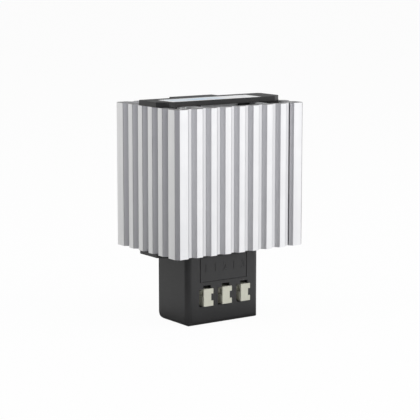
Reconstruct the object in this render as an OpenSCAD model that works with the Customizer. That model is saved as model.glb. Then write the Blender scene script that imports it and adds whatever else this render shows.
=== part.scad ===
// Enclosure heater: a finned aluminium chimney round a PTC heating pack, closed by a
// black top cap and bottom cap, with a terminal box below and a 35 mm rail clip behind.
// Millimetres. Z = 0 is the underside of the terminal box, X = Y = 0 is the heatsink's
// axis, -Y is the front with the terminals, +Z is up.

/* [Heatsink] */
// Width over the fins, left to right
sink_w = 90; // [84:1:110]
// Depth over the fins, front to back
sink_d = 65; // [60:1:90]
// Length of the extrusion
sink_h = 84.2; // [80:0.2:160]
// Cut at the four outer corners
corner_cut = 2.1; // [1:0.1:3]
// Grooves across the front and the back
front_grooves = 8; // [6:2:8]
// Pitch of the front and back fins
front_pitch = 9.8; // [9:0.1:10.2]
// Grooves across each side
side_grooves = 5; // [3:1:5]
// Pitch of the side fins
side_pitch = 10.4; // [9.4:0.1:11]
// Width of a groove at the fin tips
groove_w = 5.7; // [4.5:0.1:6.2]
// Width of a groove at its floor
groove_floor = 1.8; // [1:0.1:3]
// Depth of a groove
groove_depth = 2.5; // [1.5:0.1:3]
// Break on the edges of a fin's tip
fin_edge = 0.3; // [0.1:0.05:0.5]
// Wall behind the groove floors
wall_t = 2.8; // [2:0.1:4]
// Width of the slit in the last front groove
slit_w = 0.5; // [0.4:0.1:1.6]
// Offset of the slit to the right of its groove's middle
slit_shift = 1.1; // [0:0.1:1.2]
// Width of the core that holds the heating pack
core_w = 54; // [51:1:60]
// Depth of the core
core_d = 18; // [16:0.5:22]
// Thickness of the ribs from the core to the front and back walls
rib_t = 2.2; // [1.5:0.1:3]
// Distance of those ribs from the middle
rib_x = 22.3; // [19:0.1:23.5]
// Thickness of the webs from the core to the side walls
web_t = 9; // [7:0.5:9]
// Distance of the screw channels from the middle
channel_x = 35; // [33:0.5:36]
// Radius of a screw channel
channel_r = 1.75; // [1.4:0.05:2]

/* [Caps] */
// Front reach of both caps
cap_front = 16.1; // [15:0.1:18]
// Back reach of both caps
cap_back = 7.5; // [6.2:0.1:12]
// How far both caps stop short of the fins' tips on the right
cap_short = 3.5; // [0:0.5:5]
// Length of the oblique cuts at the caps' front corners, along the front
cap_front_run = 6; // [3:0.1:8]
// Length of those cuts along the ends
cap_front_cut = 4.5; // [3:0.1:7]
// Oblique cut at the caps' back corners
cap_back_cut = 1.5; // [1:0.1:5]
// Thickness of the top cap
cap_t = 3; // [2.4:0.1:5]
// Width of the top cap's back tab
tab_w = 30; // [20:1:34]
// Offset of that tab to the left of the middle
tab_shift = 4; // [0:0.5:6]
// Reach of that tab
tab_reach = 14; // [13:0.5:18]
// Depth of the top cap's plug legs
leg_h = 8; // [4:0.5:14]
// Front face of the front plug legs
leg_front = 14; // [10:0.1:15]
// Thickness of the back and middle plug legs
leg_t = 1.5; // [1:0.1:1.6]
// Width of a plug leg
leg_w = 7.5; // [5:0.5:10]
// Gap between a plug leg and the faces it stands against
leg_gap = 0.1; // [0.05:0.05:0.3]
// Label length
label_w = 62; // [40:1:64]
// Label depth
label_d = 16; // [12:0.5:17]
// Label thickness
label_t = 0.2; // [0.1:0.05:0.4]
// Label offset to the left of the middle
label_shift = 5; // [0:0.5:5]
// Label margin from the top cap's front edge
label_margin = 0.5; // [0.4:0.1:3]
// Gap round the label in its seat
label_gap = 0.2; // [0.1:0.05:0.25]
// Thickness of the bottom cap
flange_t = 1.8; // [1.6:0.1:4]
// Height of the bottom cap's collar inside the terminal box
collar_h = 6; // [3:0.5:8]
// Thickness of the collar
collar_t = 1.6; // [1.2:0.1:2.4]
// Gap between the collar and the terminal box
collar_gap = 0.15; // [0.05:0.05:0.3]
// Margin round the electrode tabs in the bottom cap's mouth
mouth_margin = 2; // [1:0.5:4]

/* [Terminal box] */
// Width of the terminal box
box_w = 51.4; // [50:0.2:60]
// Front face of the terminal box from the heatsink's axis
box_front = 14.2; // [13.4:0.1:14.4]
// Back face of the terminal box from the heatsink's axis
box_back = 16; // [15:0.1:20]
// Height from the box's underside to the heatsink
base_h = 44.5; // [42:0.5:60]
// Wall of the box
box_wall = 2.2; // [1.8:0.1:2.6]
// Radius of the front upright edges
edge_r = 3.6; // [2.8:0.1:5]
// Radius of the bottom edges at the front and sides
foot_r = 2.6; // [1:0.1:4]
// Radius of the bottom edge at the back
back_foot_r = 4.8; // [2:0.1:6]
// Width of the marking panel
panel_w = 33.6; // [20:0.2:36]
// Height of the marking panel
panel_h = 15; // [8:0.5:15]
// Underside of the marking panel above the box's underside
panel_z = 25.3; // [25:0.1:27]
// Depth of the groove round the marking panel
panel_depth = 0.5; // [0.2:0.1:0.8]
// Width of that groove
panel_groove = 0.45; // [0.3:0.05:1]

/* [Terminals] */
// Pitch of the terminals
term_pitch = 13.3; // [12.6:0.1:14]
// Offset of the terminal row to the right
term_shift = 1; // [0:0.1:1.4]
// Width of a window in the box's front
win_w = 9.9; // [9.2:0.1:10.4]
// Height of a window
win_h = 10.5; // [9:0.1:11]
// Underside of the windows above the box's underside
win_z = 10.8; // [8:0.1:11]
// Width of the conductor recess beside a terminal's nose
recess_w = 3.1; // [2.9:0.1:3.6]
// Width of the holding tab at a window's right edge
tab_in = 1.5; // [1:0.1:2.4]
// Height of the holding tab
tab_h = 4; // [2:0.1:5]
// Width of the tool slot above a terminal
tool_w = 5.3; // [3:0.1:6]
// Height of the tool slot
tool_h = 2; // [1:0.1:2.2]
// Offset of the tool slot to the left of the nose's middle
tool_shift = 1; // [0:0.1:1.4]
// Clearance round a terminal in its window
term_clear = 0.1; // [0.05:0.05:0.2]
// How far a terminal's nose stands proud of the box
nose_proud = 0.25; // [0:0.05:0.5]
// Depth of the nose behind the box's front
nose_d = 6; // [4.5:0.1:7]
// Length of the pocket in a nose's left side
nose_pocket_l = 3.4; // [2:0.1:3.6]
// Height of that pocket
nose_pocket_h = 3.1; // [2:0.1:4]
// Depth of that pocket
nose_pocket_d = 1.6; // [0.5:0.1:2.5]
// Distance of that pocket from the nose's face
nose_pocket_in = 1; // [0.6:0.1:1.2]
// Distance of that pocket's floor above the window's middle
nose_pocket_up = 0.4; // [0:0.1:0.6]
// Depth of the terminal body behind the nose
body_d = 9; // [8:0.1:11]
// How far the body is wider than the window, each side
body_lip = 0.8; // [0.4:0.1:1]
// Radius of a conductor entry
entry_r = 1.3; // [1:0.05:1.4]
// Length of a conductor entry
entry_l = 3; // [2:0.1:3.6]
// Floor and walls of a terminal's clamp pocket
pocket_wall = 1.4; // [1:0.1:1.6]
// Width of the metal in a clamp
clamp_w = 5; // [3:0.1:6]
// Thickness of a current bar
bar_t = 0.8; // [0.5:0.05:1]
// How far a current bar stands above its terminal
bar_up = 4.5; // [3:0.1:8]
// Thickness of a clamp spring
spring_t = 0.4; // [0.3:0.05:0.6]
// Gap round a clamp spring in its pocket
spring_gap = 0.2; // [0.1:0.05:0.3]
// Length of a clamp spring's free leg
free_l = 2; // [1:0.1:3]
// Thickness of the box's inner shelf and stop
shelf_t = 1.6; // [1.2:0.1:2.4]

/* [Heating pack] */
// Width of a PTC stone
stone_w = 20; // [14:0.5:20.5]
// Height of a PTC stone
stone_h = 22; // [14:0.5:23]
// Thickness of a PTC stone
stone_t = 2.4; // [1.8:0.1:3]
// Gap between stones
stone_gap = 1; // [0.5:0.1:1.5]
// Thickness of an electrode
electrode_t = 0.5; // [0.3:0.05:0.8]
// Width of an electrode's tab
blade_w = 6.3; // [4.8:0.1:8]
// Distance of an electrode's tab from the middle
blade_x = 11; // [9:0.5:14]
// How far the electrode tabs reach below the heatsink
blade_down = 8; // [6:0.5:10]
// Thickness of an insulating sheet
film_t = 0.5; // [0.2:0.05:0.8]
// Height of the pressure spring's waves
wave_h = 3.6; // [2.5:0.1:4.5]
// Thickness of the pressure spring
wave_t = 0.4; // [0.3:0.05:0.6]
// Gap between the pack and the ends of its slot
pack_gap = 1; // [0.5:0.1:1.5]
// Distance of the pack from the extrusion's lower end
pack_up = 5; // [3:0.5:5]

/* [Wiring] */
// Radius of a lead
lead_r = 1; // [0.7:0.05:1.2]
// Radius of the earth screw
earth_r = 1.25; // [1:0.05:1.5]
// Length of the earth screw in the heatsink
earth_l = 6; // [4:0.5:10]
// Thickness of the earth lug
lug_t = 0.8; // [0.5:0.1:1.2]
// Outer radius of the earth lug
lug_r = 2.4; // [2.2:0.05:2.45]
// Gap between the earth screw's head and its lead
lug_gap = 1; // [0.5:0.1:2]
// Height of the earth screw's head
earth_head_h = 1.8; // [1.2:0.1:2.4]
// How straight a lead leaves its ends
lead_reach = 5; // [3:0.5:7]

/* [Fasteners] */
// Clearance of a screw shank in its threaded hole
thread_clear = 0.05; // [0.02:0.01:0.1]
// Clearance of a screw shank in a clearance hole
hole_clear = 0.3; // [0.2:0.05:0.6]
// Radius of a cap screw's countersunk head
head_r = 3.4; // [2.8:0.1:4]
// What the bottom cap keeps above that head
head_land = 0.4; // [0.2:0.1:0.8]
// Length of a cap screw in the heatsink
screw_l = 12; // [8:1:16]

/* [Rail clip] */
// Width of the clip
clip_w = 32; // [30:1:40]
// Thickness of the clip
clip_t = 1.5; // [1:0.1:2]
// Middle of the rail above the box's underside
rail_z = 88; // [86:1:100]
// Height of the rail
rail_h = 35; // [35]
// Thickness of the rail's edge
rail_t = 1; // [1:0.1:1.5]
// Play of the rail in the hooks
rail_play = 0.3; // [0.2:0.05:0.5]
// Lip of the upper hook
hook_lip = 3; // [2:0.1:4]
// Lip of the lower hook
latch_lip = 1.6; // [1:0.1:2]
// Length of the release tail below the lower hook
tail_h = 8; // [5:0.5:10]
// Width of the slots that free the lower hook
spring_slot = 1.6; // [1:0.1:2]
// Radius of a clip screw
clip_screw_r = 1.75; // [1.4:0.05:1.8]
// Head radius of a clip screw
clip_head_r = 3.2; // [2.8:0.1:3.6]
// Head height of a clip screw
clip_head_h = 2; // [1.4:0.1:2.4]

/* [Hidden] */
$fn = 48;
// Overshoot of cuts
eps = 0.5;
TERMINALS = [1, 2, 3];
STONE_COLS = 2;
STONE_ROWS = 3;
WAVES = 3;
// Steps of a rounded edge, a lead's length and a lead's round
ARC_STEPS = 6;
LEAD_STEPS = 12;
LEAD_SIDES = 8;

sink_top = base_h + sink_h;
cap_z = sink_top;
half_w = sink_w / 2;
half_d = sink_d / 2;
// Right end of both caps, on the left they end at the fins' tips
cap_right = half_w - cap_short;
// Inner faces of the outer walls
inner_x = half_w - groove_depth - wall_t;
inner_y = half_d - groove_depth - wall_t;
last_groove_x = (front_grooves - 1) / 2 * front_pitch;
// The heating pack, layer by layer from its front
pack_w = STONE_COLS * stone_w + (STONE_COLS - 1) * stone_gap;
pack_h = STONE_ROWS * stone_h + (STONE_ROWS - 1) * stone_gap;
slot_w = pack_w + 2 * pack_gap;
slot_d = 2 * film_t + 2 * electrode_t + stone_t + wave_h;
pack_z = base_h + pack_up;
film_front_y = -slot_d / 2;
electrode_front_y = film_front_y + film_t;
stone_y = electrode_front_y + electrode_t;
electrode_back_y = stone_y + stone_t;
film_back_y = electrode_back_y + electrode_t;
wave_y = film_back_y + film_t;
// Terminals
nose_w = win_w - recess_w - term_clear;
term_h = win_h - 2 * term_clear;
term_z = win_z + term_clear;
body_y = nose_d - box_front;
stop_y = body_y + body_d + term_clear;
pocket_y = body_y + entry_l;
pocket_d = body_d - entry_l - pocket_wall;
bar_y = pocket_y + pocket_d - bar_t;
bar_top = term_z + term_h + bar_up;
// Window for the electrode tabs and the earth lug in the bottom cap
mouth_x = blade_x + blade_w / 2 + mouth_margin;
mouth_y = core_d / 2;
// Earth screw in the middle of the core's back wall
earth_y = (slot_d / 2 + core_d / 2) / 2;
// Rail clip
clip_y = half_d;
seat_y = clip_y + clip_t;
lip_y = seat_y + rail_t + rail_play;
hook_z = rail_z + rail_h / 2 + rail_play;
latch_z = rail_z - rail_h / 2 - rail_play;
clip_screw_x = front_pitch;
clip_screw_l = groove_depth + wall_t;

BLACK = [0.13, 0.13, 0.135];
CREAM = [0.76, 0.76, 0.69];
ALUMINIUM = [0.86, 0.86, 0.87];
STEEL = [0.66, 0.67, 0.69];
COPPER = [0.8, 0.6, 0.42];

function term_x(i) = term_shift + (i - 2) * term_pitch;

// Left side of a terminal's nose, which stands against the window's right edge
function nose_x(i) = term_x(i) + win_w / 2 - term_clear - nose_w;

function arc(c, r, from, to) =
    [for (k = [0:ARC_STEPS]) let (a = from + (to - from) * k / ARC_STEPS) c + r * [cos(a), sin(a)]];

// One groove cut into an edge that runs along +t with the metal below, at place s
function groove(s) =
    let (
        run = (groove_w - groove_floor) / 2,
        slant = norm([run, groove_depth]),
        in_t = fin_edge * run / slant,
        in_n = fin_edge * groove_depth / slant
    )
    [
        [s - groove_w / 2 - fin_edge, 0], [s - groove_w / 2 + in_t, -in_n],
        [s - groove_floor / 2, -groove_depth], [s + groove_floor / 2, -groove_depth],
        [s + groove_w / 2 - in_t, -in_n], [s + groove_w / 2 + fin_edge, 0]
    ];

// One finned side: its corner cut, then its grooves from left to right
function side(half_len, count, pitch) =
    [[-half_len + corner_cut, 0],
     for (k = [0:count - 1]) each groove((k - (count - 1) / 2) * pitch),
     [half_len - corner_cut, 0]];

// A side's points turned to face outwards at angle a, at distance d from the axis
function faced(points, d, a) =
    [for (p = points) [-p[0] * cos(a) + (p[1] + d) * sin(a), -p[0] * sin(a) - (p[1] + d) * cos(a)]];

function sink_outline() =
    let (
        wide = side(half_w, front_grooves, front_pitch),
        narrow = side(half_d, side_grooves, side_pitch)
    )
    concat(faced(wide, half_d, 0), faced(narrow, half_w, 270),
        faced(wide, half_d, 180), faced(narrow, half_w, 90));

function cap_outline() = [
    [-half_w, -cap_front + cap_front_cut], [-half_w + cap_front_run, -cap_front],
    [cap_right - cap_front_run, -cap_front], [cap_right, -cap_front + cap_front_cut],
    [cap_right, cap_back - cap_back_cut], [cap_right - cap_back_cut, cap_back],
    [-half_w + cap_back_cut, cap_back], [-half_w, cap_back - cap_back_cut]];

// A box between two corners
module block(low, high) {
    translate(low) cube(high - low);
}

module bore(p, r, h) {
    translate(p) cylinder(r = r, h = h);
}

// Open cells of the chimney: left, middle and right, in front of the core or behind it
module chimney_cells() {
    difference() {
        square([2 * inner_x, 2 * inner_y], center = true);
        square([core_w, core_d], center = true);
        square([2 * inner_x + eps, web_t], center = true);
        for (s = [-1, 1]) translate([s * rib_x, 0]) square([rib_t, 2 * inner_y + eps], center = true);
    }
}

module heatsink() {
    slit_x = last_groove_x + slit_shift;
    color(ALUMINIUM) difference() {
        translate([0, 0, base_h]) linear_extrude(sink_h) difference() {
            polygon(sink_outline());
            chimney_cells();
            square([slot_w, slot_d], center = true);
            translate([slit_x - slit_w / 2, -half_d - eps]) square([slit_w, half_d - inner_y + 2 * eps]);
        }
        for (s = [-1, 1]) bore([s * channel_x, 0, base_h - eps], channel_r, sink_h + 2 * eps);
        bore([0, earth_y, base_h - eps], earth_r + thread_clear, earth_l + earth_r + eps);
        for (s = [-1, 1]) translate([s * clip_screw_x, half_d + eps, rail_z])
            rotate([90, 0, 0]) cylinder(r = clip_screw_r + thread_clear, h = clip_screw_l + 2 * eps);
    }
}

module top_cap() {
    leg_in = web_t / 2 + leg_gap;
    leg_out = inner_x - leg_gap;
    mid_out = rib_x - rib_t / 2 - leg_gap;
    mid_in = core_d / 2 + leg_gap;
    color(BLACK) difference() {
        union() {
            translate([0, 0, cap_z]) linear_extrude(cap_t) union() {
                polygon(cap_outline());
                translate([-tab_shift - tab_w / 2, 0]) square([tab_w, tab_reach]);
            }
            for (s = [0, 1]) mirror([s, 0, 0]) {
                block([leg_out - leg_w, -leg_front, cap_z - leg_h], [leg_out, -leg_in, cap_z + eps]);
                block([leg_out - leg_w, leg_in, cap_z - leg_h], [leg_out, leg_in + leg_t, cap_z + eps]);
                block([mid_out - leg_w, -mid_in - leg_t, cap_z - leg_h], [mid_out, -mid_in, cap_z + eps]);
            }
        }
        label_seat(label_t + eps, label_gap);
    }
}

// The label's block, standing in the cap's top face, widened by gap all round
module label_seat(h, gap) {
    translate([-label_shift - label_w / 2 - gap, -cap_front + label_margin - gap, cap_z + cap_t - label_t])
        cube([label_w + 2 * gap, label_d + 2 * gap, h]);
}

module rating_label() {
    color([0.93, 0.94, 0.96]) label_seat(label_t, 0);
}

// Plan of the terminal box, drawn in by inset on every side
module box_plan(inset) {
    x = box_w / 2 - inset;
    front = box_front - inset;
    back = box_back - inset;
    // The round shrinks with the inset, down to a small inside radius
    r = max(edge_r - inset, 0.4);
    translate([-x + r, -front]) square([2 * (x - r), front + back]);
    translate([-x, -front + r]) square([2 * x, front + back - r]);
    for (s = [-1, 1]) translate([s * (x - r), -front + r]) circle(r);
}

// Body with round upright front edges and round bottom edges
module box_shell() {
    top = base_h - flange_t;
    x = box_w / 2;
    intersection() {
        linear_extrude(top) box_plan(0);
        rotate([90, 0, 90]) translate([0, 0, -x - eps]) linear_extrude(2 * (x + eps)) polygon(concat(
            arc([-box_front + foot_r, foot_r], foot_r, 180, 270),
            arc([box_back - back_foot_r, back_foot_r], back_foot_r, 270, 360),
            [[box_back, top + eps], [-box_front, top + eps]]));
        rotate([90, 0, 0]) translate([0, 0, -box_back - eps])
            linear_extrude(box_front + box_back + 2 * eps) polygon(concat(
                arc([-x + foot_r, foot_r], foot_r, 180, 270),
                arc([x - foot_r, foot_r], foot_r, 270, 360),
                [[x, top + eps], [-x, top + eps]]));
    }
}

// Window of one terminal with its holding tab, and the tool slot above it
module window(i) {
    left = term_x(i) - win_w / 2;
    right = left + win_w;
    mid = win_z + win_h / 2;
    y0 = -box_front - eps;
    y1 = -box_front + box_wall + eps;
    difference() {
        block([left, y0, win_z], [right, y1, win_z + win_h]);
        block([right - tab_in, y0 - eps, mid - tab_h / 2], [right + eps, y1 + eps, mid + tab_h / 2]);
    }
    tool_x = nose_x(i) + nose_w / 2 - tool_shift;
    block([tool_x - tool_w / 2, y0, win_z + win_h - eps], [tool_x + tool_w / 2, y1, win_z + win_h + tool_h]);
}

// Block of the marking panel in the box's front, drawn in by inset at its sides and half as much below
module panel(inset) {
    block([-panel_w / 2 + inset, -box_front - eps - inset, panel_z + inset / 2],
        [panel_w / 2 - inset, -box_front + panel_depth + inset, panel_z + panel_h - inset / 2]);
}

module terminal_box() {
    floor_z = box_wall;
    inner = box_w / 2 - box_wall;
    color(BLACK) difference() {
        union() {
            difference() {
                box_shell();
                translate([0, 0, floor_z + foot_r]) linear_extrude(base_h) box_plan(box_wall);
            }
            block([-inner - eps, -box_front + box_wall - eps, term_z - term_clear - shelf_t],
                [inner + eps, stop_y + shelf_t, term_z - term_clear]);
            block([-inner - eps, stop_y, term_z - term_clear - shelf_t],
                [inner + eps, stop_y + shelf_t, term_z + term_h]);
        }
        for (i = TERMINALS) window(i);
        difference() {
            panel(0);
            panel(panel_groove);
        }
    }
}

module bottom_cap() {
    under = base_h - flange_t;
    gap = box_wall + collar_gap;
    color(BLACK) difference() {
        union() {
            translate([0, 0, under]) linear_extrude(flange_t) union() {
                polygon(cap_outline());
                box_plan(0);
            }
            translate([0, 0, under - collar_h]) linear_extrude(collar_h + eps) difference() {
                box_plan(gap);
                box_plan(gap + collar_t);
            }
        }
        block([-mouth_x, -mouth_y, under - eps], [mouth_x, mouth_y, base_h + eps]);
        for (s = [-1, 1]) translate([s * channel_x, 0, under]) {
            translate([0, 0, -eps]) cylinder(r = channel_r + hole_clear, h = flange_t + 2 * eps);
            countersink(head_r + thread_clear, channel_r, flange_t - head_land);
        }
    }
}

// Pan-head screw with its head's seat at the origin and its shank along +Z
module pan_screw(shank_r, shank_l, r, h) {
    slot_half = r / 6;
    cylinder(r = shank_r, h = shank_l);
    difference() {
        translate([0, 0, -h]) cylinder(r = r, h = h);
        for (a = [0, 90]) rotate([0, 0, a])
            block([-r / 2, -slot_half, -h - eps], [r / 2, slot_half, -h / 2]);
    }
}

// Cone of a countersunk head with its flat face at the origin
module countersink(r, shank_r, h) {
    cylinder(r1 = r, r2 = shank_r, h = h);
}

module cap_screws() {
    shank_r = channel_r - thread_clear;
    slot_half = head_r / 6;
    head_h = flange_t - head_land;
    color(STEEL) for (s = [-1, 1]) translate([s * channel_x, 0, base_h - flange_t]) difference() {
        union() {
            countersink(head_r, shank_r, head_h);
            cylinder(r = shank_r, h = flange_t + screw_l);
        }
        for (a = [0, 90]) rotate([0, 0, a])
            block([-head_r / 2, -slot_half, -eps], [head_r / 2, slot_half, head_h / 2]);
    }
}

// Clamp terminal: a nose in the window, a wider body behind it with a conductor entry
// in the recess, and a pocket for the clamp that is open at the top
module terminal_body(i) {
    x = nose_x(i);
    left = term_x(i) - win_w / 2 - body_lip;
    right = term_x(i) + win_w / 2 + body_lip;
    mid = win_z + win_h / 2;
    entry_x = term_x(i) - win_w / 2 + recess_w / 2;
    top = term_z + term_h;
    pocket_w = right - left - 2 * pocket_wall;
    color(CREAM) difference() {
        union() {
            block([x, -box_front - nose_proud, term_z], [x + nose_w, body_y + eps, top]);
            block([left, body_y, term_z], [right, body_y + body_d, top]);
        }
        block([x + nose_w - tab_in, -box_front - nose_proud - eps, mid - tab_h / 2 - term_clear],
            [x + nose_w + eps, -box_front + box_wall + term_clear, mid + tab_h / 2 + term_clear]);
        block([x - eps, -box_front - nose_proud + nose_pocket_in, mid + nose_pocket_up],
            [x + nose_pocket_d, -box_front - nose_proud + nose_pocket_in + nose_pocket_l,
                mid + nose_pocket_up + nose_pocket_h]);
        translate([entry_x, body_y - eps, mid]) rotate([-90, 0, 0])
            cylinder(r = entry_r, h = entry_l + 2 * eps);
        block([left + pocket_wall, pocket_y, term_z + pocket_wall],
            [left + pocket_wall + pocket_w, pocket_y + pocket_d, top + eps]);
    }
}

function clamp_x(i) = term_x(i) - win_w / 2 - body_lip + pocket_wall;

// Strip that lies on the pocket's floor and stands up its back wall
module current_bar(i) {
    foot_z = term_z + pocket_wall;
    x = clamp_x(i);
    color(COPPER) union() {
        block([x, pocket_y, foot_z], [x + clamp_w, bar_y + bar_t, foot_z + bar_t]);
        block([x, bar_y, foot_z], [x + clamp_w, bar_y + bar_t, bar_top]);
    }
}

// Bent strip that stands on the bar's foot along the bar, turns over at the top and ends in
// a free leg that presses a conductor down
module clamp_spring(i) {
    foot_z = term_z + pocket_wall + bar_t;
    r = (pocket_d - bar_t - spring_gap) / 2;
    bend_z = term_z + term_h - r - spring_gap;
    bend_y = pocket_y + spring_gap + r;
    color(STEEL) translate([clamp_x(i), 0, 0]) rotate([90, 0, 90]) linear_extrude(clamp_w) union() {
        translate([bend_y, bend_z]) difference() {
            circle(r);
            circle(r - spring_t);
            translate([-2 * r, -2 * r]) square([4 * r, 2 * r]);
        }
        translate([bend_y - r, bend_z - free_l]) square([spring_t, free_l]);
        translate([bend_y + r - spring_t, foot_z]) square([spring_t, bend_z - foot_z]);
    }
}

module ptc_stones() {
    color([0.42, 0.36, 0.33]) for (c = [0:STONE_COLS - 1], r = [0:STONE_ROWS - 1])
        translate([-pack_w / 2 + c * (stone_w + stone_gap), stone_y, pack_z + r * (stone_h + stone_gap)])
            cube([stone_w, stone_t, stone_h]);
}

// Sheet over the stones with a tab that runs down into the terminal box
module electrode(y, side) {
    x = side * blade_x - blade_w / 2;
    color(STEEL) union() {
        block([-pack_w / 2, y, pack_z], [pack_w / 2, y + electrode_t, pack_z + pack_h]);
        block([x, y, base_h - blade_down], [x + blade_w, y + electrode_t, pack_z + eps]);
    }
}

module electrode_live() {
    electrode(electrode_front_y, -1);
}

module electrode_neutral() {
    electrode(electrode_back_y, 1);
}

module insulation(y) {
    color([0.80, 0.58, 0.22]) block([-pack_w / 2, y, pack_z], [pack_w / 2, y + film_t, pack_z + pack_h]);
}

module insulation_front() {
    insulation(film_front_y);
}

module insulation_back() {
    insulation(film_back_y);
}

// Waved strip between the pack's back and the slot's back wall
module pressure_spring() {
    step = pack_w / (WAVES * 4);
    high = wave_h - wave_t;
    crest = [for (k = [0:WAVES - 1], p = [[0, 0], [1, 0], [2, high], [3, high]])
        [-pack_w / 2 + (4 * k + p[0]) * step, p[1]]];
    line = concat(crest, [[pack_w / 2, 0]]);
    back = [for (k = [len(line) - 1:-1:0]) line[k] + [0, wave_t]];
    color(STEEL) translate([0, wave_y, pack_z]) linear_extrude(pack_h) polygon(concat(line, back));
}

// Point of a cubic curve from a, leaving along da, to b, arriving along db
function curve_at(a, da, b, db, t) =
    let (s = 1 - t) s * s * s * a + 3 * s * s * t * (a + da) + 3 * s * t * t * (b - db) + t * t * t * b;

function unit(v) = v / norm(v);

// Ring of a lead round point p, square to direction d, with its flats turned from side n
function ring(p, d, n) =
    let (u = unit(cross(d, n)), v = cross(u, d))
    [for (k = [0:LEAD_SIDES - 1]) let (a = 360 * k / LEAD_SIDES) p + lead_r * (cos(a) * u + sin(a) * v)];

// Round lead from a to b, which starts and ends upright
module lead(a, b) {
    rise = [0, 0, lead_reach];
    path = [for (k = [0:LEAD_STEPS]) curve_at(a, rise, b, rise, k / LEAD_STEPS)];
    last = LEAD_STEPS;
    way = [for (k = [0:last]) k == 0 || k == last ? [0, 0, 1] : unit(path[k + 1] - path[k - 1])];
    rings = [for (k = [0:last]) each ring(path[k], way[k], [0, 1, 0])];
    n = LEAD_SIDES;
    walls = [for (k = [0:last - 1], j = [0:n - 1])
        let (m = (j + 1) % n) each [
            [k * n + j, k * n + m, (k + 1) * n + m],
            [k * n + j, (k + 1) * n + m, (k + 1) * n + j]]];
    first_cap = [for (j = [n - 1:-1:0]) j];
    last_cap = [for (j = [0:n - 1]) last * n + j];
    polyhedron(rings, concat([first_cap], walls, [last_cap]), convexity = 4);
}

// Top of a current bar, where its lead starts
function bar_end(i) = [clamp_x(i) + clamp_w / 2, bar_y + bar_t / 2, bar_top];

function blade_end(y, side) = [side * blade_x, y + electrode_t / 2, base_h - blade_down];

module lead_live() {
    color([0.45, 0.27, 0.16]) lead(bar_end(1), blade_end(electrode_front_y, -1));
}

module lead_neutral() {
    color([0.2, 0.35, 0.65]) lead(bar_end(2), blade_end(electrode_back_y, 1));
}

module lead_earth() {
    color([0.35, 0.6, 0.2]) lead(bar_end(3), [lug_tail_x(), earth_y, base_h - lug_t]);
}

function lug_tail_x() = lug_r + lead_r + lug_gap;

// Ring tongue on the heatsink's underside with a flat tail for its lead
module earth_lug() {
    tail = lug_tail_x() + lead_r;
    color(STEEL) translate([0, earth_y, base_h - lug_t]) difference() {
        union() {
            cylinder(r = lug_r, h = lug_t);
            translate([0, -lead_r, 0]) cube([tail, 2 * lead_r, lug_t]);
        }
        translate([0, 0, -eps]) cylinder(r = earth_r + hole_clear, h = lug_t + 2 * eps);
    }
}

module earth_screw() {
    color(STEEL) translate([0, earth_y, base_h - lug_t])
        pan_screw(earth_r, lug_t + earth_l, lug_r, earth_head_h);
}

// Side view of the clip: a plate on the fins, a hook over the rail's upper edge and a
// sprung hook with a lead-in and a tail below its lower edge
module clip_profile() {
    out = lip_y + clip_t;
    polygon([
        [clip_y, latch_z - tail_h], [seat_y, latch_z - tail_h], [seat_y, latch_z - 2 * clip_t],
        [lip_y, latch_z - 2 * clip_t], [out, latch_z - clip_t], [out, latch_z],
        [lip_y, latch_z + latch_lip], [lip_y, latch_z], [seat_y, latch_z],
        [seat_y, hook_z], [lip_y, hook_z], [lip_y, hook_z - hook_lip],
        [out, hook_z - hook_lip + clip_t / 2], [out, hook_z + clip_t], [clip_y, hook_z + clip_t]]);
}

module rail_clip() {
    tongue = clip_w / 4;
    color(STEEL) difference() {
        rotate([90, 0, 90]) translate([0, 0, -clip_w / 2]) linear_extrude(clip_w) clip_profile();
        for (s = [-1, 1]) translate([s * clip_screw_x, clip_y - eps, rail_z])
            rotate([-90, 0, 0]) cylinder(r = clip_screw_r + hole_clear, h = clip_t + 2 * eps);
        for (s = [-1, 1]) block(
            [s * tongue / 2 - spring_slot / 2, clip_y - eps, latch_z + clip_t],
            [s * tongue / 2 + spring_slot / 2, seat_y + eps, rail_z - clip_head_r - clip_t]);
    }
}

module clip_screws() {
    color(STEEL) for (s = [-1, 1]) translate([s * clip_screw_x, seat_y, rail_z])
        rotate([90, 0, 0]) pan_screw(clip_screw_r, clip_t + clip_screw_l, clip_head_r, clip_head_h);
}

heatsink();
top_cap();
rating_label();
bottom_cap();
cap_screws();
terminal_box();
for (i = TERMINALS) terminal_body(i);
for (i = TERMINALS) current_bar(i);
for (i = TERMINALS) clamp_spring(i);
ptc_stones();
electrode_live();
electrode_neutral();
insulation_front();
insulation_back();
pressure_spring();
lead_live();
lead_neutral();
lead_earth();
earth_lug();
earth_screw();
rail_clip();
clip_screws();
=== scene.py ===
"""Looks of a rail-mounted enclosure heater: anodised fins, black mouldings, cream clamp terminals."""
from math import cos, radians, sin

import bpy
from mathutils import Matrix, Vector


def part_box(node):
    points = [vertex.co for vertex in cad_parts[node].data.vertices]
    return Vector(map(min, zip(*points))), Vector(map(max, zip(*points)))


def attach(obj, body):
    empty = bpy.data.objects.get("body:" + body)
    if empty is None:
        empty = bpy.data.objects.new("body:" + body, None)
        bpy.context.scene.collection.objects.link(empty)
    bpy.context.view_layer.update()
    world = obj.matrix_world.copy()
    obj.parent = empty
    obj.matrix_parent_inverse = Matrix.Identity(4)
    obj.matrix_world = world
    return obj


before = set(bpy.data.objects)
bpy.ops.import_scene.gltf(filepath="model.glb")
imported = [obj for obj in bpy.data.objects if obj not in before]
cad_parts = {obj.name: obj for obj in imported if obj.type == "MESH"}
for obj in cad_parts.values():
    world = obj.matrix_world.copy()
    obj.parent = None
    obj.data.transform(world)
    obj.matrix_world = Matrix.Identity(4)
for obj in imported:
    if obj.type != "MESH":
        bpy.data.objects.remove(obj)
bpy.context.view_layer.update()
MM = 0.001

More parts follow.
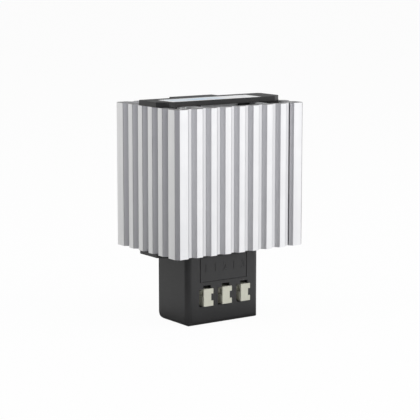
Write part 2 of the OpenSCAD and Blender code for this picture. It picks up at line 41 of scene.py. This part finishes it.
# The photograph's camera: where it aims, its turn round the object and rise in degrees, and how far it is
CAMERA_AIM = Vector((0.21, 0.0, 64.9)) * MM
CAMERA_TURN = 34.98
CAMERA_RISE = 9.07
CAMERA_DISTANCE = 914.5 * MM
CAMERA_LENS = 132.8
SENSOR = 36.0

# Linear colours of the finishes
WHITE = (1, 1, 1, 1)
ALUMINIUM_PALE = (0.905, 0.906, 0.912, 1)
ALUMINIUM_DULL = (0.855, 0.857, 0.865, 1)
# Painted shade: the darker colour deep in the heatsink's grooves
ALUMINIUM_GROOVE_SHADE = (0.79, 0.792, 0.802, 1)
# Painted dark reflection: the darker colour on the heatsink's cut corners
ALUMINIUM_CORNER_SHADE = (0.70, 0.702, 0.712, 1)
ALUMINIUM_SAWN = (0.40, 0.40, 0.41, 1)
BLACK_PLASTIC = (0.0155, 0.0155, 0.016, 1)
BLACK_PLASTIC_WORN = (0.024, 0.024, 0.0247, 1)
CREAM_PLASTIC = (0.73, 0.73, 0.62, 1)
CREAM_SHADE = (0.64, 0.63, 0.52, 1)
LABEL_WHITE = (0.92, 0.92, 0.92, 1)
LABEL_BLUE = (0.50, 0.69, 0.86, 1)
LABEL_GREY = (0.35, 0.39, 0.46, 1)
ZINC = (0.62, 0.63, 0.65, 1)
ZINC_DULL = (0.48, 0.49, 0.52, 1)
STRIP_STEEL = (0.56, 0.57, 0.59, 1)
STRIP_DULL = (0.42, 0.43, 0.45, 1)
TIN = (0.74, 0.73, 0.70, 1)
TIN_DULL = (0.58, 0.56, 0.52, 1)
CERAMIC = (0.11, 0.085, 0.075, 1)
CERAMIC_SPECK = (0.20, 0.17, 0.15, 1)
FILM_AMBER = (0.45, 0.22, 0.04, 1)
FILM_DARK = (0.30, 0.13, 0.02, 1)
SLEEVE_BROWN = (0.10, 0.045, 0.02, 1)
SLEEVE_BLUE = (0.02, 0.07, 0.28, 1)
SLEEVE_GREEN = (0.06, 0.22, 0.03, 1)

# Half width and half depth of the chimney inside the heatsink, in millimetres
CHIMNEY_X = 39.9
CHIMNEY_Y = 27.4

# How far below the fins' tips the painted shade of the grooves starts and is complete, in millimetres
GROOVE_START = 0.6
GROOVE_FULL = 2.2

# Width along each side of the painted dark reflection on the heatsink's cut corners, in millimetres
CORNER_SHADE_WIDTH = 2.15

# A face whose direction has more than this share of Z is a sawn end of the extrusion
ENDWAYS = 0.9

# Ruled part and blue field of the label, as shares of its length and width:
# where each starts, is complete, starts to end and ends
RULED_ALONG = (0.03, 0.05, 0.60, 0.64)
RULED_ACROSS = (0.08, 0.12, 0.88, 0.92)
BLUE_ALONG = (0.26, 0.30, 0.42, 0.46)
BLUE_ACROSS = (0.22, 0.28, 0.66, 0.72)
# Ruled lines over the label's whole width, and the inked share of each line's room
LABEL_RULES = 9
RULE_SHARE = 0.4


class Field:
    """One output of a shader's node tree. Arithmetic on it adds Math nodes to the same tree."""

    def __init__(self, socket):
        self.socket = socket

    def node(self, kind, settings=None, sockets=None, out=0):
        """Adds a node of a kind, with its settings first and then its sockets, and gives one output."""
        made = add_node(self.socket.id_data, kind, settings, sockets)
        return Field(made.outputs[out])

    def math(self, operation, *values):
        """A Math node on values, each a field of this tree or a number."""
        return self.node("ShaderNodeMath", {"operation": operation}, dict(enumerate(values)))

    def __add__(self, other):
        return self.math("ADD", self, other)

    def __radd__(self, other):
        return self.math("ADD", other, self)

    def __sub__(self, other):
        return self.math("SUBTRACT", self, other)

    def __rsub__(self, other):
        return self.math("SUBTRACT", other, self)

    def __mul__(self, other):
        return self.math("MULTIPLY", self, other)

    def __rmul__(self, other):
        return self.math("MULTIPLY", other, self)

    def __truediv__(self, other):
        return self.math("DIVIDE", self, other)

    def __rtruediv__(self, other):
        return self.math("DIVIDE", other, self)

    def __gt__(self, other):
        return self.math("GREATER_THAN", self, other)

    def __lt__(self, other):
        return self.math("LESS_THAN", self, other)

    def __abs__(self):
        return self.math("ABSOLUTE", self)

    def part(self, axis):
        """One coordinate of a vector."""
        return self.node("ShaderNodeSeparateXYZ", None, {0: self}, out="XYZ".index(axis))

    def step(self, low, high):
        """0 where this is below low, 1 where it is above high, and smooth between."""
        sockets = {0: self, 1: low, 2: high}
        return self.node("ShaderNodeMapRange", {"interpolation_type": "SMOOTHSTEP"}, sockets)

    def within(self, start, full, ebb, end):
        """0 up to start, 1 from full to ebb, and 0 again from end on."""
        return self.step(start, full) * (1 - self.step(ebb, end))

    def mix(self, a, b):
        """Colour a where this is 0, colour b where it is 1."""
        return self.node("ShaderNodeMix", {"data_type": "RGBA"}, {0: self, 6: a, 7: b}, out=2)


def add_node(tree, kind, settings=None, sockets=None):
    """Adds a node: settings are its properties, sockets its values or the fields linked to it."""
    made = tree.nodes.new(kind)
    for name, value in (settings or {}).items():
        setattr(made, name, value)
    for name, value in (sockets or {}).items():
        if isinstance(value, Field):
            tree.links.new(value.socket, made.inputs[name])
        else:
            made.inputs[name].default_value = value
    return made


def empty_tree(owner):
    """The node tree of a new material or world, with no nodes in it."""
    owner.use_nodes = True
    owner.node_tree.nodes.clear()
    return owner.node_tree


def show(tree, kind, shader):
    """Links a shader to the tree's output, whose kind is Material or World."""
    output = add_node(tree, "ShaderNodeOutput" + kind)
    tree.links.new(shader.outputs[0], output.inputs[0])


class Finish:
    """A Principled material that is being written: its place on the surface and its shader."""

    def __init__(self, name, **sockets):
        self.material = bpy.data.materials.new(name)
        self.tree = empty_tree(self.material)
        self.shader = add_node(self.tree, "ShaderNodeBsdfPrincipled", None, sockets)
        show(self.tree, "Material", self.shader)
        self.place = Field(add_node(self.tree, "ShaderNodeTexCoord").outputs["Object"])
        self.normal = Field(add_node(self.tree, "ShaderNodeNewGeometry").outputs["Normal"])

    def feed(self, name, field):
        """Links a field to one of the shader's sockets."""
        self.tree.links.new(field.socket, self.shader.inputs[name])

    def stretched(self, x=1.0, y=1.0, z=1.0):
        """The place on the surface with each direction scaled, for grain that runs one way."""
        sockets = {0: self.place, 1: (x, y, z)}
        return self.place.node("ShaderNodeVectorMath", {"operation": "MULTIPLY"}, sockets)

    def noise(self, size, detail=2.0, place=None):
        """Smooth noise from 0 to 1 with features about size millimetres across."""
        spot = place or self.place
        sockets = {"Vector": spot, "Scale": 1 / (size * MM), "Detail": detail}
        return spot.node("ShaderNodeTexNoise", None, sockets)

    def relief(self, height, depth, strength):
        """Bumps of a depth in millimetres, from a height of 0 to 1."""
        sockets = {"Height": height, "Distance": depth * MM, "Strength": strength}
        self.feed("Normal", height.node("ShaderNodeBump", None, sockets))


def anodised_aluminium():
    """Matte natural anodising: draw lines along the fins, saw marks on the ends, dull inner faces, painted
    shade in the grooves and a painted dark reflection on the cut corners.
    """
    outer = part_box("heatsink")[1]
    finish = Finish("anodised_aluminium")
    x = abs(finish.place.part("X"))
    y = abs(finish.place.part("Y"))
    # Depth below the tips of the fins left and right, and of those in front and behind
    from_side = outer.x - x
    from_front = outer.y - y
    inside = (x < CHIMNEY_X * MM) * (y < CHIMNEY_Y * MM)
    front_half = finish.place.part("Y") < 0.0
    sunk = from_side.math("MINIMUM", from_side, from_front)
    # Painted shade in the grooves, fuller deeper below the fins' tips, none in the chimney
    groove_shade = sunk.step(GROOVE_START * MM, GROOVE_FULL * MM) * (1 - inside)
    # Painted dark reflection on the cut corners
    shaded_corner = from_side.math("MAXIMUM", from_side, from_front) < CORNER_SHADE_WIDTH * MM
    cut_end = abs(finish.normal.part("Z")) > ENDWAYS
    draw = finish.noise(0.35, detail=3.0, place=finish.stretched(z=0.012))
    band = finish.noise(3.0, detail=1.0, place=finish.stretched(z=0.03))
    saw = finish.noise(0.5, place=finish.stretched(x=0.05))
    cloud = finish.noise(14.0, detail=3.0)
    grain = finish.noise(0.12, detail=1.0)
    tone = (cloud * 0.55 + band * 0.45).step(0.38, 0.66)
    skin = groove_shade.mix(tone.mix(ALUMINIUM_DULL, ALUMINIUM_PALE), ALUMINIUM_GROOVE_SHADE)
    skin = shaded_corner.mix(skin, ALUMINIUM_CORNER_SHADE)
    sawn = cut_end * (0.65 + 0.35 * saw)
    finish.feed("Base Color", sawn.mix(skin, ALUMINIUM_SAWN))
    # The front flues' faces scatter a share of the light, as a cloudy oxide does
    finish.feed("Metallic", 1 - 0.3 * inside * front_half)
    finish.feed("Roughness", 0.29 + 0.10 * draw + 0.05 * cloud + 0.08 * cut_end * saw + 0.2 * inside)
    line = draw * (1 - cut_end) + saw * cut_end * 1.6
    finish.relief(line * 0.75 + grain * 0.25, depth=0.012, strength=0.55)
    return finish.material


def black_moulding():
    """Black plastic from a spark-eroded mould: a fine even grain, faint flow marks and a few scuffs."""
    finish = Finish("black_moulding", IOR=1.56)
    grain = finish.noise(0.22)
    flow = finish.noise(9.0, detail=3.0)
    scuff = finish.noise(2.2, detail=4.0).step(0.60, 0.74)
    worn = scuff * 0.35 + flow * 0.25
    finish.feed("Base Color", worn.mix(BLACK_PLASTIC, BLACK_PLASTIC_WORN))
    finish.feed("Roughness", 0.36 + 0.12 * grain + 0.08 * flow - 0.05 * scuff)
    finish.relief(grain, depth=0.03, strength=0.5)
    return finish.material


def cream_moulding():
    """Unpigmented plastic: a warm pale body with faint flow marks and a satin face."""
    finish = Finish("cream_moulding", IOR=1.53)
    flow = finish.noise(2.6, detail=3.0, place=finish.stretched(z=0.35))
    grain = finish.noise(0.18, detail=1.0)
    speck = finish.noise(0.5, detail=1.0).step(0.70, 0.78)
    shade = flow * 0.5 + speck * 0.3
    finish.feed("Base Color", shade.mix(CREAM_PLASTIC, CREAM_SHADE))
    finish.feed("Roughness", 0.40 + 0.10 * grain + 0.08 * flow)
    finish.relief(grain * 0.6 + flow * 0.4, depth=0.02, strength=0.5)
    return finish.material


def label_film():
    """Pale satin film with ruled lines, a plain light blue field and no words."""
    low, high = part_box("rating_label")
    finish = Finish("label_film", IOR=1.1)
    along = (finish.place.part("X") - low.x) / (high.x - low.x)
    across = (finish.place.part("Y") - low.y) / (high.y - low.y)
    ruled = along.within(*RULED_ALONG) * across.within(*RULED_ACROSS)
    blue = along.within(*BLUE_ALONG) * across.within(*BLUE_ACROSS)
    line = across.math("FRACT", across * LABEL_RULES) < RULE_SHARE
    fibre = finish.noise(0.4, detail=3.0)
    paper = (ruled * line * 0.38).mix(LABEL_WHITE, LABEL_GREY)
    tint = ruled * 0.3 + blue * 0.35 + fibre * 0.06
    finish.feed("Base Color", tint.mix(paper, LABEL_BLUE))
    finish.feed("Roughness", 0.34 + 0.12 * fibre)
    finish.relief(fibre, depth=0.01, strength=0.4)
    return finish.material


def plated(name, pale, dull, rough):
    """Plated or rolled metal strip with brush lines across the part and dull patches."""
    finish = Finish(name, Metallic=1.0)
    brush = finish.noise(0.25, detail=3.0, place=finish.stretched(x=0.06))
    patch = finish.noise(3.5, detail=4.0)
    spot = finish.noise(0.9).step(0.62, 0.72)
    tarnish = patch * 0.7 + spot * 0.3
    finish.feed("Base Color", tarnish.mix(pale, dull))
    finish.feed("Roughness", rough + 0.14 * brush + 0.10 * patch)
    finish.relief(brush * 0.8 + spot * 0.2, depth=0.012, strength=0.5)
    return finish.material


def heating_ceramic():
    """Fired dark ceramic with pale grains."""
    finish = Finish("heating_ceramic", IOR=1.6)
    grain = finish.noise(0.3, detail=3.0)
    speck = finish.noise(0.7).step(0.58, 0.70)
    pale = speck * 0.8 + grain * 0.2
    finish.feed("Base Color", pale.mix(CERAMIC, CERAMIC_SPECK))
    finish.feed("Roughness", 0.62 + 0.2 * grain)
    finish.relief(grain, depth=0.03, strength=0.6)
    return finish.material


def amber_film():
    """Glossy amber insulating film with faint rolling streaks."""
    finish = Finish("amber_film", IOR=1.7)
    streak = finish.noise(1.2, place=finish.stretched(z=0.05))
    haze = finish.noise(6.0)
    dark = streak * 0.6 + haze * 0.4
    finish.feed("Base Color", dark.mix(FILM_AMBER, FILM_DARK))
    finish.feed("Roughness", 0.20 + 0.14 * haze)
    finish.relief(streak, depth=0.01, strength=0.4)
    return finish.material


def lead_sleeve(name, colour):
    """Matte silicone sleeve with a dusty bloom."""
    finish = Finish(name, IOR=1.42)
    bloom = finish.noise(1.5, detail=3.0)
    grain = finish.noise(0.15, detail=1.0)
    dusty = tuple(0.75 * c + 0.06 for c in colour[:3]) + (1,)
    finish.feed("Base Color", bloom.mix(colour, dusty))
    finish.feed("Roughness", 0.5 + 0.18 * grain)
    finish.relief(grain, depth=0.02, strength=0.5)
    return finish.material


ALUMINIUM = anodised_aluminium()
BLACK = black_moulding()
CREAM = cream_moulding()
LABEL = label_film()
ZINC_PLATE = plated("zinc_plate", ZINC, ZINC_DULL, rough=0.26)
SPRING_STRIP = plated("spring_strip", STRIP_STEEL, STRIP_DULL, rough=0.24)
TINNED = plated("tinned_copper", TIN, TIN_DULL, rough=0.30)
STONE = heating_ceramic()
AMBER = amber_film()
FINISHES = {
    "heatsink": ALUMINIUM,
    "top_cap": BLACK,
    "bottom_cap": BLACK,
    "terminal_box": BLACK,
    "rating_label": LABEL,
    "terminal_body": CREAM,
    "current_bar": TINNED,
    "clamp_spring": SPRING_STRIP,
    "ptc_stones": STONE,
    "electrode": SPRING_STRIP,
    "insulation": AMBER,
    "pressure_spring": SPRING_STRIP,
    "lead_live": lead_sleeve("sleeve_brown", SLEEVE_BROWN),
    "lead_neutral": lead_sleeve("sleeve_blue", SLEEVE_BLUE),
    "lead_earth": lead_sleeve("sleeve_green", SLEEVE_GREEN),
    "earth_lug": TINNED,
    "earth_screw": ZINC_PLATE,
    "cap_screws": ZINC_PLATE,
    "rail_clip": SPRING_STRIP,
    "clip_screws": ZINC_PLATE,
}

# Width of the broken edges on the pieces that show, in millimetres
EDGES = {
    "heatsink": 0.16,
    "top_cap": 0.2,
    "bottom_cap": 0.25,
    "terminal_box": 0.22,
    "terminal_body": 0.18,
    "rail_clip": 0.2,
    "cap_screws": 0.2,
    "clip_screws": 0.2,
}
EDGE_STEPS = 2
# Faces that turn less than FLAT are one face, and edges that turn more than SHARP are broken
FLAT = radians(0.5)
SHARP = radians(28)
# Corners closer than this are one corner, in millimetres
WELD_GAP = 0.001
# How far large faces overrule small ones in the shading where they meet, from 1 to 100
FACE_WEIGHT = 100


def family(node):
    """The name that a node's finish is listed under: its own, or its own without the last word."""
    if node in FINISHES:
        return node
    return node.rsplit("_", 1)[0]


def break_edges(piece, width):
    """Welds the piece's faces together and rounds its sharp edges a little."""
    piece.modifiers.new("joined_faces", "WELD").merge_threshold = WELD_GAP * MM
    whole = piece.modifiers.new("whole_faces", "DECIMATE")
    whole.decimate_type = "DISSOLVE"
    whole.angle_limit = FLAT
    rounding = piece.modifiers.new("broken_edges", "BEVEL")
    rounding.width = width * MM
    rounding.segments = EDGE_STEPS
    rounding.limit_method = "ANGLE"
    rounding.angle_limit = SHARP
    rounding.use_clamp_overlap = True
    shading = piece.modifiers.new("flat_faces", "WEIGHTED_NORMAL")
    shading.weight = FACE_WEIGHT
    shading.keep_sharp = False


for node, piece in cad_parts.items():
    piece.data.materials.clear()
    piece.data.materials.append(FINISHES[family(node)])
    if family(node) in EDGES:
        break_edges(piece, EDGES[family(node)])


# Raised marks on the terminal box's panel: a number above each terminal and a bar between two of them.
# Sizes and places are in millimetres: the first number's place across the box, the step from one
# number to the next, and the marks' feet above the box's underside
MARK_COUNT = 3
MARK_FIRST = -12.3
MARK_PITCH = 13.3
MARK_FOOT = 31.2
MARK_TALL = 4.6
MARK_RAISED = 0.2
BAR_HALF = 0.3
ROUND_STEPS = 6
# Height of the built-in lettering's digits as a share of its size
DIGIT_SHARE = 0.70


def set_on_panel(name, mesh, x):
    """Stands a flat mark, drawn in X and Y, on the panel's face and moulds it in the box's plastic."""
    mark = bpy.data.objects.new(name, mesh)
    bpy.context.scene.collection.objects.link(mark)
    mark.location = (x * MM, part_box("terminal_box")[0].y, MARK_FOOT * MM)
    mark.rotation_euler = (radians(90), 0.0, 0.0)
    mesh.materials.clear()
    mesh.materials.append(BLACK)
    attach(mark, "root")


def number_mesh(name, digit):
    """A digit with a little thickness, half of it sunk in the panel."""
    letter = bpy.data.curves.new(name + "_outline", "FONT")
    letter.body = digit
    letter.align_x = "CENTER"
    letter.size = MARK_TALL / DIGIT_SHARE * MM
    letter.extrude = MARK_RAISED * MM
    letter.resolution_u = ROUND_STEPS
    outline = bpy.data.objects.new(name + "_outline", letter)
    mesh = bpy.data.meshes.new_from_object(outline)
    mesh.name = name
    bpy.data.objects.remove(outline)
    bpy.data.curves.remove(letter)
    return mesh


def bar_mesh(name):
    """An upright bar with round ends, as thick as a number."""
    ends = [(MARK_TALL - BAR_HALF, 0.0), (BAR_HALF, 180.0)]
    turns = [180.0 * k / ROUND_STEPS for k in range(ROUND_STEPS + 1)]
    ring = [
        (BAR_HALF * cos(radians(start + turn)), middle + BAR_HALF * sin(radians(start + turn)))
        for middle, start in ends
        for turn in turns
    ]
    count = len(ring)
    corners = [(x * MM, y * MM, z * MM) for z in (-MARK_RAISED, MARK_RAISED) for x, y in ring]
    faces = [tuple(reversed(range(count))), tuple(range(count, 2 * count))]
    faces += [(k, (k + 1) % count, count + (k + 1) % count, count + k) for k in range(count)]
    mesh = bpy.data.meshes.new(name)
    mesh.from_pydata(corners, [], faces)
    return mesh


for k in range(MARK_COUNT):
    name = "terminal_number_%d" % (k + 1)
    set_on_panel(name, number_mesh(name, str(k + 1)), MARK_FIRST + k * MARK_PITCH)
for k in range(MARK_COUNT - 1):
    name = "panel_bar_%d" % (k + 1)
    set_on_panel(name, bar_mesh(name), MARK_FIRST + (k + 0.5) * MARK_PITCH)


# Stage: floor, reflector cards and lamps, in metres
# The floor lies a hair below the object's underside. To the camera and in reflections it shows
# these shares of plain white, and its lit grey for the rest
FLOOR_HALF = 40.0
FLOOR_Z = -0.0001
FLOOR_GREY = (0.85, 0.85, 0.85, 1)
FLOOR_WHITE_TO_CAMERA = 0.96
FLOOR_WHITE_TO_GLOSS = 0.3

# Reflector cards: faces in the sweep of one card, how dim its foot is and where the dimming ends
CARD_STEPS = 12
CARD_FOOT_DIM = 0.83
CARD_FOOT_TOP = 0.09
# Cards lie just above the floor, from beside the object out to where they stand up
CARD_LIFT = 0.0005
CARD_NEAR = 0.07
CARD_MIDDLE = 0.26
CARD_OUT = 0.42
CARD_TOP = 0.8
# The card under the object, a painted shadow of the object on the floor that shows in reflections, the low
# one behind its right side, and the one behind it that starts higher up
UNDER_LIFT = 0.0004
UNDER_REACH = 0.045
RIGHT_TOP = 0.2
BACK_OUT = 0.3
BACK_FOOT = 0.12
BACK_TOP = 1.0

# Share of the white surroundings that lights the object from all sides
FILL_LIGHT = 0.3


def add_stage_mesh(name, corners, faces, material):
    """A mesh of the stage, which isn't part of the object."""
    mesh = bpy.data.meshes.new(name)
    mesh.from_pydata(corners, [], faces)
    mesh.materials.append(material)
    piece = bpy.data.objects.new(name, mesh)
    bpy.context.scene.collection.objects.link(piece)
    return piece


def seen_by(tree, *kinds):
    """1 for rays of the kinds that are named, such as Camera, Glossy or Transmission."""
    path = add_node(tree, "ShaderNodeLightPath")
    seen = Field(path.outputs["Is %s Ray" % kinds[0]])
    for kind in kinds[1:]:
        seen = seen.math("MAXIMUM", seen, Field(path.outputs["Is %s Ray" % kind]))
    return seen


def floor_paint():
    """Pale floor that reads as the white backdrop and keeps a trace of the object's shadow."""
    material = bpy.data.materials.new("floor_paint")
    tree = empty_tree(material)
    matte = add_node(tree, "ShaderNodeBsdfDiffuse", None, {"Color": FLOOR_GREY})
    glow = add_node(tree, "ShaderNodeEmission", None, {"Color": WHITE, "Strength": 1.0})
    looked_at = seen_by(tree, "Camera", "Transmission") * FLOOR_WHITE_TO_CAMERA
    white = looked_at + seen_by(tree, "Glossy") * FLOOR_WHITE_TO_GLOSS
    blend = add_node(tree, "ShaderNodeMixShader", None, {0: white})
    tree.links.new(matte.outputs[0], blend.inputs[1])
    tree.links.new(glow.outputs[0], blend.inputs[2])
    show(tree, "Material", blend)
    return material


def card_paint(name, level, blue):
    """Lit grey card that dims a little towards its foot, with its blue a little above or below the rest."""
    material = bpy.data.materials.new(name)
    tree = empty_tree(material)
    height = Field(add_node(tree, "ShaderNodeTexCoord").outputs["Object"]).part("Z")
    sockets = {0: height, 1: 0.0, 2: CARD_FOOT_TOP, 3: CARD_FOOT_DIM, 4: 1.0}
    plain = height.node("ShaderNodeMapRange", None, sockets) * level
    grey = plain.node("ShaderNodeCombineColor", None, {0: plain, 1: plain, 2: plain * blue})
    glow = add_node(tree, "ShaderNodeEmission", None, {"Color": grey, "Strength": 1.0})
    show(tree, "Material", glow)
    return material


def standing_card(name, start, end, profile, level, blue=1.0):
    """Card that only shows in reflections: a profile of distances from the object's axis and heights,
    swept from start to end, in degrees from the front round to the left."""
    turns = [radians(start + (end - start) * k / CARD_STEPS) for k in range(CARD_STEPS + 1)]
    corners = [(-sin(t) * out, -cos(t) * out, z) for t in turns for out, z in profile]
    count = len(profile)
    faces = [
        (k * count + j, (k + 1) * count + j, (k + 1) * count + j + 1, k * count + j + 1)
        for k in range(CARD_STEPS)
        for j in range(count - 1)
    ]
    card = add_stage_mesh(name, corners, faces, card_paint(name, level, blue))
    card.visible_camera = False
    card.visible_diffuse = False
    card.visible_shadow = False
    card.visible_transmission = False


def lying(inner, outer, lift=CARD_LIFT):
    """Profile of a card that lies just above the floor."""
    return [(inner, lift), (outer, lift)]


def footed(inner, top):
    """Profile of a card that lies just above the floor and stands up at its outer end."""
    return lying(inner, CARD_OUT) + [(CARD_OUT, top)]


def area_lamp(name, width, depth, power):
    """Area lamp that lights surfaces but isn't seen in reflections."""
    lamp = bpy.data.lights.new(name, "AREA")
    lamp.shape = "RECTANGLE"
    lamp.size = width
    lamp.size_y = depth
    lamp.energy = power
    piece = bpy.data.objects.new(name, lamp)
    piece.visible_glossy = False
    bpy.context.scene.collection.objects.link(piece)
    return piece


def face_object(piece, turn, rise, distance):
    """Places a lamp or camera at a turn round the object and a rise, in degrees, facing its middle."""
    across = cos(radians(rise))
    away = Vector((-sin(radians(turn)) * across, -cos(radians(turn)) * across, sin(radians(rise))))
    piece.location = CAMERA_AIM + away * distance
    piece.rotation_euler = away.to_track_quat("Z", "Y").to_euler()


def softbox(name, turn, rise, distance, size, power):
    """Large square lamp that faces the object."""
    face_object(area_lamp(name, size, size, power), turn, rise, distance)


def flue_lamp(name, place, width, depth, power):
    """Unseen lamp in the chimney for light that a white table throws up, with measures in millimetres."""
    piece = area_lamp(name, width * MM, depth * MM, power)
    piece.location = Vector(place) * MM
    piece.rotation_euler = (radians(180), 0.0, 0.0)
    piece.visible_camera = False


floor_corners = [(x * FLOOR_HALF, y * FLOOR_HALF, FLOOR_Z) for x, y in ((-1, -1), (1, -1), (1, 1), (-1, 1))]
add_stage_mesh("floor", floor_corners, [(0, 1, 2, 3)], floor_paint())

standing_card("white_card", -105, 5, footed(CARD_NEAR, CARD_TOP), level=1.15, blue=1.01)
standing_card("near_floor_card", 5, 118, lying(CARD_NEAR, CARD_MIDDLE), level=0.25)
standing_card("dim_card", 5, 36, footed(CARD_MIDDLE, CARD_TOP), level=0.36, blue=1.08)
standing_card("dark_card", 36, 58, footed(CARD_MIDDLE, CARD_TOP), level=0.266, blue=1.08)
standing_card("strip_card", 58, 66, footed(CARD_MIDDLE, CARD_TOP), level=1.14, blue=1.04)
standing_card("dark_side_card", 66, 104, footed(CARD_MIDDLE, CARD_TOP), level=0.01, blue=1.1)
standing_card("side_card", 104, 118, footed(CARD_MIDDLE, CARD_TOP), level=0.38)
standing_card("grey_card", 118, 178, footed(CARD_NEAR, CARD_TOP), level=0.80, blue=0.99)
# Painted shadow: a dark card under the object shows in reflections where the floor lies in its shadow
standing_card("under_card", 0, 360, lying(0.0, UNDER_REACH, UNDER_LIFT), level=0.2)
standing_card("back_card", 178, 255, [(BACK_OUT, BACK_FOOT), (BACK_OUT, BACK_TOP)], level=0.40)
standing_card("right_card", 195, 254, footed(CARD_NEAR, RIGHT_TOP), level=0.30)

softbox("front_right_softbox", turn=-38, rise=32, distance=1.5, size=1.2, power=11.2)
softbox("left_softbox", turn=100, rise=28, distance=1.5, size=1.2, power=9.8)
softbox("top_softbox", turn=10, rise=80, distance=1.6, size=1.4, power=6.6)
flue_lamp("front_flue_lamp", (0.0, -22.0, 44.0), width=2 * CHIMNEY_X, depth=9.0, power=0.006)
flue_lamp("back_flue_lamp", (0.0, 18.0, 44.0), width=2 * CHIMNEY_X, depth=16.0, power=0.0035)
flue_lamp("left_flue_lamp", (-31.5, -21.6, 98.0), width=15.0, depth=9.0, power=0.006)

# White surroundings, which show in full to the camera and in reflections
world = bpy.data.worlds.new("studio")
bpy.context.scene.world = world
sky_tree = empty_tree(world)
seen = seen_by(sky_tree, "Camera", "Glossy", "Transmission")
sky_level = seen * (1 - FILL_LIGHT) + FILL_LIGHT
sky = add_node(sky_tree, "ShaderNodeBackground", None, {"Color": WHITE, "Strength": sky_level})
show(sky_tree, "World", sky)

lens = bpy.data.cameras.new("camera")
lens.lens = CAMERA_LENS
lens.sensor_width = SENSOR
camera = bpy.data.objects.new("camera", lens)
face_object(camera, CAMERA_TURN, CAMERA_RISE, CAMERA_DISTANCE)
bpy.context.scene.collection.objects.link(camera)
bpy.context.scene.camera = camera
bpy.context.scene.view_settings.view_transform = "Standard"
